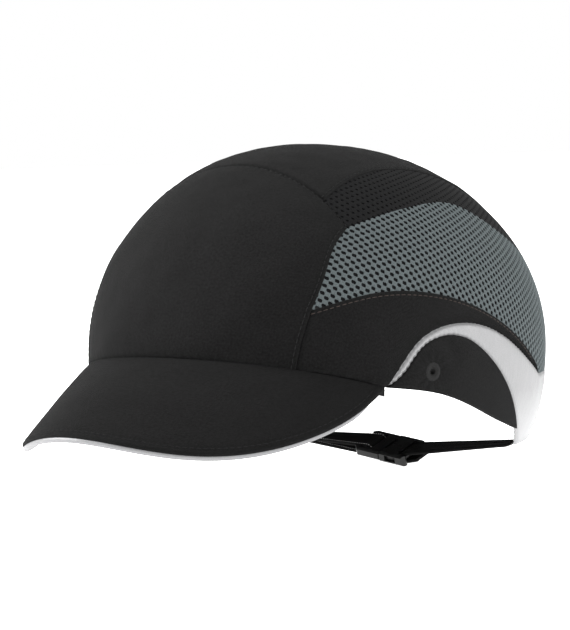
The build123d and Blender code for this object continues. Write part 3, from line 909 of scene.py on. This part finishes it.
def build_eyelet(paint):
    """A ring of close radial stitches each side of the flap, joined through the hole."""
    centre, facing = eyelet_place()
    side = np.cross([0, 0, 1], facing)
    side /= np.linalg.norm(side)
    up = np.cross(facing, side)
    profile = [
        (EYELET_BORE - 0.3, -3.2),
        (EYELET_RIM - 1.0, -3.3),
        (EYELET_RIM - 0.6, -2.9),
        (EYELET_BORE + 0.6, -2.5),
        (EYELET_BORE + 0.6, -0.7),
        (EYELET_RIM, -0.55),
        (EYELET_RIM - 0.1, -0.2),
        (EYELET_RIM - 0.8, 0.15),
        (EYELET_RIM - 1.6, 0.1),
        (EYELET_BORE - 0.3, -0.2),
        (EYELET_BORE - 0.45, -0.7),
    ]
    sides, threads = 192, 32
    points, faces = [], []
    for i in range(sides):
        turn = 2 * pi * i / sides
        rib = 0.11 * abs(cos(threads * turn / 2))
        ray = side * cos(turn) + up * sin(turn)
        for radius, depth in profile:
            raised = rib if depth > -0.5 else -rib if depth < -2.6 else 0
            points.append(centre + ray * radius + facing * (depth + raised))
    size = len(profile)
    for i in range(sides):
        for j in range(size):
            a, b = i * size + j, (i + 1) % sides * size + j
            c, d = (i + 1) % sides * size + (j + 1) % size, i * size + (j + 1) % size
            faces.append((a, b, c, d))
    points = np.array(points)
    piece = object_from("eyelet_left_thread", points, faces, points[:, 1:], paint["thread"])
    right = mirror_piece(piece, "eyelet_right_thread")
    seat_piece(piece, "cap", "thread", "eyelet_left")
    seat_piece(right, "cap", "thread", "eyelet_right")


def build_tail_lining(paint):
    corners = [(39, -40.5), (45, -18), (69, -18), (72, -36)]
    runs = [side_curve([corners[k], corners[(k + 1) % 4]]) for k in range(4)]
    grid = coons(runs[0], runs[2][::-1], np.stack([runs[0][0], runs[3][0]]),
                 np.stack([runs[0][-1], runs[2][0]]), shares_of(24, cell=1.2), shares_of(24, cell=1.2))
    grid = sunk(grid, 1.3)
    relief = cloth_relief(grid, slack=0.1, seed=17)
    piece = panel("tail_lining_left_cloth", grid, np.minimum(relief, 0), FABRIC, paint["lining"])
    both_sides("tail_lining", piece, "lining_fabric", grid)


def build_brow_tape(paint):
    high = joined(side_curve(BROW_SIDE)[::-1], side_curve(BROW_FRONT))
    high = joined(high, mirrored(high)[::-1])
    low = on_crown(high - np.array([0, 0, 4.0]))
    grid = sunk(ruled(low, high, shares_of(270), np.linspace(0, 1, 7)), 2.4)
    relief = 0.04 * ripples(grid, 5, 1.0)
    piece = panel("brow_tape_cloth", grid, relief, FABRIC, paint["lining"])
    seat_piece(piece, "cap", "lining_fabric", "brow_tape")
    declare_sheet(grid)


# ---------------------------------------------------------------- knitted mesh


def level_share(y):
    """The crown's width at y as a share of its widest."""
    reach = np.where(y < APEX_Y, FRONT_REACH, REAR_REACH)
    return np.sqrt(np.maximum(1 - ((y - APEX_Y) / reach) ** 2, 1e-6))


PROFILE_Y = np.linspace(-100, 104, 4000)
PROFILE_RUN = lengths(np.stack([PROFILE_Y, HALF_WIDTH * level_share(PROFILE_Y), 0 * PROFILE_Y], -1))
PROFILE_RUN -= np.interp(APEX_Y, PROFILE_Y, PROFILE_RUN)


def wrapped(flat):
    """Flat cloth places (along, up) laid on the crown's left."""
    y = np.interp(flat[:, 0], PROFILE_RUN, PROFILE_Y)
    share = level_share(y)
    turn = flat[:, 1] / (HALF_WIDTH * share)
    height = np.where(turn > 0, CROWN_HEIGHT, LOWER_DEPTH)
    return np.stack([HALF_WIDTH * share * np.cos(turn), y, height * share * np.sin(turn)], -1)


def unwrapped(points):
    y = points[:, 1]
    share = level_share(y)
    height = np.where(points[:, 2] > 0, CROWN_HEIGHT, LOWER_DEPTH)
    turn = np.arctan2(points[:, 2] / height, points[:, 0] / HALF_WIDTH)
    return np.stack([np.interp(y, PROFILE_Y, PROFILE_RUN), turn * HALF_WIDTH * share], -1)


def outline_distance(places, outline):
    """Distance of each flat place inside a closed outline, negative outside it."""
    start, end = outline, np.roll(outline, -1, axis=0)
    side = end - start
    best = np.full(len(places), 1e9)
    inside = np.zeros(len(places), bool)
    for a, b, d in zip(start, end, side):
        away = places - a
        share = np.clip((away @ d) / max(d @ d, 1e-12), 0, 1)
        best = np.minimum(best, np.linalg.norm(away - share[:, None] * d, axis=1))
        crosses = (a[1] > places[:, 1]) != (b[1] > places[:, 1])
        with np.errstate(divide="ignore", invalid="ignore"):
            at = a[0] + (places[:, 1] - a[1]) * d[0] / d[1]
        inside ^= crosses & (places[:, 0] < at)
    return np.where(inside, best, -best)


def hole_outline(size, count=12):
    """A rounded diamond standing on the lattice, and the matching cell border."""
    turns = 2 * pi * (np.arange(count) + 0.5) / count
    corner = 1 + 0.1 * np.cos(4 * turns)
    hole = size * corner[:, None] * np.stack([np.cos(turns), 1.1 * np.sin(turns)], -1)
    reach = 0.5 / np.maximum(np.abs(np.cos(turns)), np.abs(np.sin(turns)))
    cell = reach[:, None] * np.stack([np.cos(turns), np.sin(turns)], -1)
    return hole, cell


def knit(outline, hole_size):
    """Flat places and faces of a mesh cloth with real holes, cut to an outline."""
    hole, cell = hole_outline(hole_size)
    count = len(hole)
    lattice = np.stack([LATTICE_A, LATTICE_B])
    border = cell @ lattice
    gap = hole @ (lattice / np.linalg.norm(lattice, axis=1)[:, None])
    spots = (outline @ np.linalg.inv(lattice)).round().astype(int)
    places, rim, faces = [], [], []
    for i in range(spots[:, 0].min() - 1, spots[:, 0].max() + 2):
        for j in range(spots[:, 1].min() - 1, spots[:, 1].max() + 2):
            middle = i * LATTICE_A + j * LATTICE_B
            base = len(places)
            square = [(i + a, j + b) for a in (-0.5, 0.5) for b in (-0.5, 0.5)]
            places += list(middle + border) + list(middle + gap)
            places += [a * LATTICE_A + b * LATTICE_B for a, b in square]
            rim += [0.0] * count + [1.0] * count + [0.0] * 4
            for k in range(count):
                n = (k + 1) % count
                faces.append((base + k, base + n, base + count + n, base + count + k))
            for corner, quarter in enumerate((2, 1, 3, 0)):
                k = quarter * 3 + 1
                faces.append((base + k, base + 2 * count + corner, base + (k + 1) % count))
    return merged(np.array(places), np.array(rim), faces, outline)


def merged(places, rim, faces, outline):
    """The faces with shared corners, cut along the outline."""
    keys, index = {}, []
    for place in np.round(places, 3):
        index.append(keys.setdefault((place[0], place[1]), len(keys)))
    index = np.array(index)
    flat, edge = np.zeros((len(keys), 2)), np.zeros(len(keys))
    flat[index], edge[index] = places, rim
    faces = [tuple(index[list(face)]) for face in faces]
    depth = outline_distance(flat, outline)
    flat, edge, depth = list(flat), list(edge), list(depth)
    cut, kept = {}, []

    def crossing(a, b):
        key = (min(a, b), max(a, b))
        if key not in cut:
            share = depth[a] / (depth[a] - depth[b])
            cut[key] = len(flat)
            flat.append(flat[a] + (flat[b] - flat[a]) * share)
            edge.append(edge[a] + (edge[b] - edge[a]) * share)
        return cut[key]

    for face in faces:
        corners = []
        for a, b in zip(face, face[1:] + face[:1]):
            if depth[a] >= 0:
                corners.append(a)
            if (depth[a] >= 0) != (depth[b] >= 0):
                corners.append(crossing(a, b))
        if len(set(corners)) >= 3:
            kept.append(tuple(int(k) for k in corners))
    used = sorted({k for face in kept for k in face})
    renumber = {old: new for new, old in enumerate(used)}
    kept = [tuple(renumber[k] for k in face) for face in kept]
    return np.array(flat)[used], np.array(edge)[used], kept


def mesh_panel(name, outline, hole_size, depth, material):
    """A knitted panel on the crown's left, its yarns rounded towards the holes."""
    flat, rim, faces = knit(outline, hole_size)
    base = wrapped(flat)
    normal = crown_normal(base)
    outer = base - normal * (depth + 0.16 * rim)[:, None]
    inner = base - normal * (depth + MESH_THICK - 0.12 * rim)[:, None]
    return thickened(name, outer, inner, faces, flat, material)


def backing(name, outline, depth, material, cell=3.0):
    """A thin lining behind a knitted panel, cut to the same outline."""
    low, high = outline.min(axis=0) - cell, outline.max(axis=0) + cell
    u, v = np.arange(low[0], high[0], cell), np.arange(low[1], high[1], cell)
    places = np.stack(np.meshgrid(u, v, indexing="ij"), -1).reshape(-1, 2)
    corners = [i * len(v) + j for i in range(len(u) - 1) for j in range(len(v) - 1)]
    faces = [(k, k + len(v), k + len(v) + 1, k + 1) for k in corners]
    flat, _, faces = merged(places, np.zeros(len(places)), faces, outline)
    base = wrapped(flat)
    normal = crown_normal(base)
    return thickened(name, base - normal * depth, base - normal * (depth + 0.2), faces, flat, material)


def outside_ring(curve):
    """The part of a curve that lies outside the band's upper edge over the nape."""
    reach = (curve[:, 0] / RING_HALF) ** 2 + ((curve[:, 2] - TAIL_BASE) / RING_RISE) ** 2
    return curve[reach >= 1]


def grey_outline():
    rear = outside_ring(side_curve(MESH_TOP))
    low = side_curve(MESH_LOW)[::-1]
    ahead = side_curve(FRONT_SEAM)[::-1]
    ring = back_curve(RING_HALF, RING_RISE, 56.4, 44.0)[::-1]
    keep = ring[:, 0] > rear[-1, 0]
    border = joined(rear, ring[keep], low, ahead)
    return at_shares(joined(border, border[:1]), np.linspace(0, 1, 420))[:-1]


def black_outline():
    edge = strip_edge()
    low = outside_ring(side_curve(MESH_TOP))
    ring = back_curve(RING_HALF, RING_RISE, max(low[-1, 0], edge[-1, 0]), edge[-1, 0])
    border = joined(edge, ring[::-1], low[::-1], over_top(np.linspace(low[0, 0], STRIP_FRONT, 20)))
    return at_shares(joined(border, border[:1]), np.linspace(0, 1, 420))[:-1]


def build_mesh(paint):
    for name, border, size, slot in (
        ("side_mesh", grey_outline(), GREY_HOLE, "grey_mesh"),
        ("upper_mesh", black_outline(), BLACK_HOLE, "black_mesh"),
    ):
        outline = unwrapped(border)
        piece = mesh_panel(f"{name}_left_cloth", outline, size, MESH_DEPTH, paint[slot])
        right = mirror_piece(piece, f"{name}_right_cloth")
        for side, mesh in (("left", piece), ("right", right)):
            seat_piece(mesh, "cap", slot, f"{name}_{side}")
        piece = backing(f"{name}_left_lining", outline, BACKING_DEPTH, paint["lining"])
        for lining in (piece, mirror_piece(piece, f"{name}_right_lining")):
            seat_piece(lining, "cap", "lining_fabric")


# ---------------------------------------------------------------- peak


def peak_point(u, v):
    """Points of the peak's top: u from corner to corner, v from the brow to the edge."""
    turn = np.radians(BROW_ANGLE * u)
    inner = np.stack(
        [
            (HALF_WIDTH + BROW_CLEAR) * np.sin(turn),
            APEX_Y - (FRONT_REACH + BROW_CLEAR) * np.cos(turn),
            BROW_CENTRE_Z - BROW_DROP * u**2,
        ],
        -1,
    )
    share = PEAK_SHARE * np.abs(u)
    sweep = np.radians(90 * share)
    outer = np.stack(
        [
            np.sign(u) * PEAK_HALF * np.sin(sweep),
            PEAK_BACK_Y - PEAK_REACH * np.cos(sweep) ** PEAK_POINT,
            PEAK_TIP_Z - PEAK_SIDE_DIP * np.sin(pi * share) ** 2 + PEAK_CORNER_RISE * share**8,
        ],
        -1,
    )
    crowning = PEAK_CROWNING * 4 * v * (1 - v) * (1 - u * u)
    point = inner * (1 - v)[..., None] + outer * v[..., None]
    point[..., 2] += crowning
    return point


def peak_down(u, v):
    step = 0.004
    across = peak_point(u + step, v) - peak_point(u - step, v)
    outward = peak_point(u, v + step) - peak_point(u, v - step)
    down = np.cross(across, outward)
    down /= np.linalg.norm(down, axis=-1)[..., None]
    return np.where(down[..., 2:] < 0, down, -down)


def corner_taper(u):
    """The peak's thickness as a share of its full one, thinner at the very corners."""
    return 1 - 0.5 * np.clip((np.abs(u) - 0.97) / 0.03, 0, 1)


def build_peak(paint, stitches):
    """Covers above and below the board, rolled towards the piping at their edges."""
    columns, rows = np.linspace(-1, 1, 221), shares_of(100.0, cell=2.0)
    for name, depth, sign, v1 in (("top", 0.0, 1, 1.0), ("under", PEAK_UNDER, -1, 0.985)):
        u, v = np.meshgrid(columns, PEAK_TUCK + (v1 - PEAK_TUCK) * rows, indexing="ij")
        grid = peak_point(u, v) + peak_down(u, v) * depth * corner_taper(u)[..., None]
        away = edge_distances(grid)
        height = 0.22 * ripples(grid, 22, 4.0 + depth) * np.clip(away["top"] / 6, 0, 1)
        height *= np.clip(away["bottom"] / 5, 0, 1)
        height -= rounded_edge(away["top"], 1.4 if sign > 0 else 0.7)
        height -= 0.18 * np.exp(-(((away["top"] - PEAK_SEAM) / 0.5) ** 2))
        up = -peak_down(u, v) * sign
        piece = panel(
            f"peak_cover_{name}_cloth", grid, height, PEAK_FABRIC, paint["black"], seat=lambda _: up
        )
        seat_piece(piece, "cap", "black_fabric", f"peak_cover_{name}")
        declare_sheet(grid)
        line = inset_curve(grid, "top", PEAK_SEAM)
        facing = at_shares(up[:, -8], np.linspace(0, 1, len(line)))
        facing /= np.linalg.norm(facing, axis=1)[:, None]
        stitches.row(line + facing * 0.02, facing)


def build_piping(paint):
    """The reflective binding round the peak's lower edge."""
    u = np.linspace(-1, 1, 301)
    one = np.ones_like(u)
    edge, down = peak_point(u, one), peak_down(u, one)
    outward = peak_point(u, one) - peak_point(u, one * 0.99)
    outward /= np.linalg.norm(outward, axis=1)[:, None]
    profile = [
        (-1.6, 1.5), (-0.4, 1.2), (0.5, 1.3), (1.05, 1.8), (1.15, 2.4),
        (0.95, 3.0), (0.3, 3.4), (-0.7, 3.45), (-1.6, 3.3),
    ]
    full = np.clip((0.97 - np.abs(u)) / 0.09, 0.02, 1)[:, None] ** 0.7
    middle = edge - outward + down * 2.2
    rings = [
        middle + (outward * (out + 1) + down * (deep - 2.2)) * full for out, deep in profile
    ]
    rings = np.stack(rings, 1)
    size = len(profile)
    faces = tube_faces(len(u), size)
    run = np.repeat(lengths(edge), size)
    uvs = np.stack([run, np.tile(np.arange(size) * 0.8, len(u))], -1)
    piece = object_from("peak_piping_binding", rings.reshape(-1, 3), faces, uvs, paint["piping"])
    seat_piece(piece, "cap", "reflective_piping", "peak_piping")


# ---------------------------------------------------------------- pads and sweatband


def stuffed(node, material):
    """A foam pad puffed by a short cloth simulation from its CAD solid."""
    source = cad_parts[node]
    piece = bpy.data.objects.new(f"{node}_foam", source.data.copy())
    bpy.context.scene.collection.objects.link(piece)
    bpy.context.view_layer.objects.active = piece
    remesh = piece.modifiers.new("remesh", "REMESH")
    remesh.mode = "VOXEL"
    remesh.voxel_size = PAD_VOXEL * MM
    apply_modifiers(piece)
    rest = points_of(piece)
    cloth = piece.modifiers.new("cloth", "CLOTH")
    cloth.settings.use_pressure = True
    cloth.settings.uniform_pressure_force = 4
    cloth.settings.effector_weights.gravity = 0
    for step in range(1, 16):
        bpy.context.scene.frame_set(step)
    apply_modifiers(piece)
    moved = points_of(piece) - rest
    size = np.linalg.norm(moved, axis=1)
    moved *= np.minimum(1, PAD_PUFF * MM / np.maximum(size, 1e-9))[:, None]
    piece.data.vertices.foreach_set("co", (rest + moved).ravel())
    bpy.context.scene.frame_set(1)
    smooth = piece.modifiers.new("smooth", "SMOOTH")
    smooth.iterations = 3
    piece.modifiers.new("subdivide", "SUBSURF").levels = 1
    apply_modifiers(piece)
    paint_mesh(piece.data, material)
    seat_piece(piece, "cap", "foam", node)


def points_of(piece):
    points = np.zeros(len(piece.data.vertices) * 3)
    piece.data.vertices.foreach_get("co", points)
    return points.reshape(-1, 3)


def apply_modifiers(piece):
    """The piece's mesh as its modifiers leave it, with none left on it."""
    evaluated = piece.evaluated_get(bpy.context.evaluated_depsgraph_get())
    mesh = bpy.data.meshes.new_from_object(evaluated)
    piece.modifiers.clear()
    piece.data = mesh


def build_sweatband(paint, stitches):
    low = round_front(SWEATBAND_LOW)
    high = round_front(SWEATBAND_HIGH)
    grid = ruled(low, high, shares_of(260), shares_of(28, cell=1.2))
    grid = sunk(grid, 3.7 + SWEATBAND)
    away = edge_distances(grid)
    edge = np.minimum.reduce([away[k] for k in away])
    relief = 0.35 * np.clip(edge / 4, 0, 1) ** 0.5 - rounded_edge(edge, 1.2)
    relief += 0.15 * ripples(grid, 10, 6.0)
    relief -= 0.4 * np.exp(-(((away["bottom"] - 3) / 0.7) ** 2))
    inward = lambda points: -crown_normal(points)
    piece = panel("sweatband_pad", grid, relief, SWEATBAND - 0.4, paint["terry"], seat=inward)
    seat_piece(piece, "cap", "sweatband_fabric", "sweatband")
    line = at_shares(inset_curve(grid, "bottom", 3), np.linspace(0, 1, 400))
    stitches.row(line, -crown_normal(line))


# ---------------------------------------------------------------- strap and buckle


def turned(points, tilt, slope=0.0):
    """Directions turned by a slope about Y, then a tilt about X."""
    x, y, z = np.asarray(points, float).T
    c, s = cos(radians(slope)), sin(radians(slope))
    x, z = x * c + z * s, z * c - x * s
    c, s = cos(radians(tilt)), sin(radians(tilt))
    return np.stack([x, y * c - z * s, y * s + z * c], -1)


def strap_world(points):
    return turned(points, STRAP_TILT) + np.array([0, STRAP_Y, STRAP_Z])


def buckle_world(points):
    return turned(points, BUCKLE_TILT, BUCKLE_SLOPE) + BUCKLE_PLACE


WEB_SIDE = turned([(0, 1, 0)], STRAP_TILT)
BUCKLE_SIDE = turned([(0, 1, 0)], BUCKLE_TILT, BUCKLE_SLOPE)


def web_axes(path, sides):
    """Unit directions over the webbing's width and off its face, along its path."""
    ahead = np.gradient(path, axis=0)
    ahead /= np.linalg.norm(ahead, axis=1)[:, None]
    up = np.cross(ahead, sides)
    up /= np.linalg.norm(up, axis=1)[:, None]
    return np.cross(up, ahead), up


def ribbon(name, path, sides, material, width=WEB_WIDTH, thick=WEB_THICK):
    """Webbing along a path: a flat band with rounded, ribbed edges."""
    across, up = web_axes(path, sides)
    half, flat = width / 2, thick / 2
    profile = []
    for sign in (1, -1):
        for x in np.linspace(-half + 0.5, half - 0.5, 23) * sign:
            rib = 0.06 * cos(2 * pi * x / 1.1) + (0.10 if abs(x) > half - 1.6 else 0)
            profile.append((x, sign * (flat - 0.08 + rib)))
        profile.append((sign * (half - 0.1), sign * flat * 0.5))
        profile.append((sign * half, 0))
        profile.append((sign * (half - 0.1), -sign * flat * 0.5))
    run = lengths(path)
    points, uvs = [], []
    for k in range(len(path)):
        for x, z in profile:
            points.append(path[k] + across[k] * x + up[k] * z)
            uvs.append((run[k], x + (40 if z < 0 else 0)))
    return object_from(name, points, tube_faces(len(path), len(profile)), uvs, material)


def web_run(bar_x, side, tail):
    """Webbing's path and width directions: anchor, over the bar, round it and back below."""
    anchored = strap_world([(side * (ANCHOR_X - 0.2), 0, 0)])[0]
    top, low = buckle_world([(bar_x, 0, WRAP), (bar_x, 0, -WRAP)])
    share = np.linspace(0, 1, 60)[:, None]
    path, sides = [anchored + (top - anchored) * share], [WEB_SIDE + (BUCKLE_SIDE - WEB_SIDE) * share]
    turn = np.linspace(0, pi, 17)[1:]
    wrap = np.stack([bar_x - side * WRAP * np.sin(turn), 0 * turn, WRAP * np.cos(turn)], -1)
    path.append(buckle_world(wrap))
    sides.append(np.repeat(BUCKLE_SIDE, len(turn), axis=0))
    back = (anchored - top) / np.linalg.norm(anchored - top)
    share = np.linspace(0, 1, 30)[1:, None]
    part = share * tail / np.linalg.norm(anchored - top)
    path.append(low + back * tail * share + np.array([0, 0, TAIL_CLOSING]) * part)
    sides.append(BUCKLE_SIDE + (WEB_SIDE - BUCKLE_SIDE) * part)
    return joined(*path), joined(*sides)


def on_release(piece):
    """Bakes the placement of a piece of the strap between its right anchor and the sliding plug into its
    mesh.
    """
    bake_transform(piece)


def build_strap(paint):
    path, sides = web_run(SOCKET_BAR_X, 1, LEFT_TAIL)
    seat_piece(ribbon("strap_left_web", path, sides, paint["webbing"]), "strap", "webbing", "strap_left")
    path, sides = web_run(PLUG_BAR_X, -1, RIGHT_TAIL)
    piece = ribbon("strap_right_web", path, sides, paint["webbing"])
    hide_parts("strap_right")
    on_release(piece)
    edging = Stitches()
    across, up = web_axes(path, sides)
    for edge in (-1, 1):
        for face in (-1, 1):
            line = path + across * edge * (WEB_WIDTH / 2 - 0.9) + up * face * (WEB_THICK / 2 + 0.06)
            edging.row(line, up * face, pitch=1.3, length=0.9, radius=0.16)
    on_release(edging.piece("strap_right_edging", paint["white_thread"]))


def build_anchors(paint):
    """Webbing tabs sewn inside the tails, turning in to the strap at their lower ends."""
    z = np.linspace(-25.5, -38.5, 24)
    x = side_x(np.full_like(z, STRAP_Y), z) - 3.2
    tab = np.stack([x, np.full_like(x, STRAP_Y), z], -1)
    inner = strap_world([(ANCHOR_X - 0.4, 0, 0)])[0]
    elbow = np.array([x[-1] + 0.8, STRAP_Y, STRAP_Z + 0.2])
    share = np.linspace(0, 1, 20)[1:, None]
    bend = (1 - share) ** 2 * tab[-1] + 2 * share * (1 - share) * elbow + share**2 * inner
    path = joined(tab, bend)
    slant = crown_normal(path)
    sides = np.stack([-slant[:, 1], slant[:, 0], np.zeros(len(path))], -1)
    turn = np.clip((np.arange(len(path)) - 20) / 16, 0, 1)[:, None]
    sides = sides * (1 - turn) + WEB_SIDE * turn
    for name, side in (("left", 1), ("right", -1)):
        flipped = np.array([side, 1, 1])
        piece = ribbon(f"strap_anchor_{name}_web", path * flipped, sides * flipped, paint["webbing"])
        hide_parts(f"strap_anchor_{name}")
        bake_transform(piece)


def build_buckle(paint):
    """The CAD buckle's parts with their moulded edges rounded."""
    for node, body in (
        ("buckle_socket", "strap"),
        ("buckle_plug", "plug"),
        ("prong_rear", "prong_rear"),
        ("prong_front", "prong_front"),
    ):
        piece = bpy.data.objects.new(f"{node}_moulding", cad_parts[node].data.copy())
        bpy.context.scene.collection.objects.link(piece)
        bevel = piece.modifiers.new("bevel", "BEVEL")
        bevel.width, bevel.segments = 0.22 * MM, 2
        bevel.limit_method, bevel.angle_limit = "ANGLE", radians(35)
        apply_modifiers(piece)
        paint_mesh(piece.data, paint["buckle"], sharp=40)
        seat_piece(piece, body, "buckle_plastic", node)


# ---------------------------------------------------------------- the cap


def paint_cad(paint):
    """The CAD nodes that keep their own shape."""
    for node, slot in (
        ("hard_shell", "shell"),
        ("peak_board", "board"),
    ):
        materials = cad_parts[node].data.materials
        materials.clear()
        materials.append(paint[slot])


def main():
    make_camera()
    make_studio()
    paint = make_materials()
    stitches, brown = Stitches(), Stitches()
    build_front_panel(paint, stitches)
    build_strap(paint)
    build_anchors(paint)
    build_buckle(paint)
    build_strip(paint, stitches)
    build_side_panel(paint, brown)
    build_band(paint)
    build_flap(paint)
    build_eyelet(paint)
    build_tail_lining(paint)
    build_brow_tape(paint)
    build_mesh(paint)
    build_peak(paint, stitches)
    build_piping(paint)
    for node in ("crown_pad", "front_pad", "rear_pad", "side_pad_left", "side_pad_right"):
        stuffed(node, paint["foam"])
    build_sweatband(paint, stitches)
    paint_cad(paint)
    seat_piece(stitches.piece("seam_stitches", paint["thread"]), "cap", "thread")
    seat_piece(brown.piece("side_stitches", paint["brown_thread"]), "cap", "thread")


main()
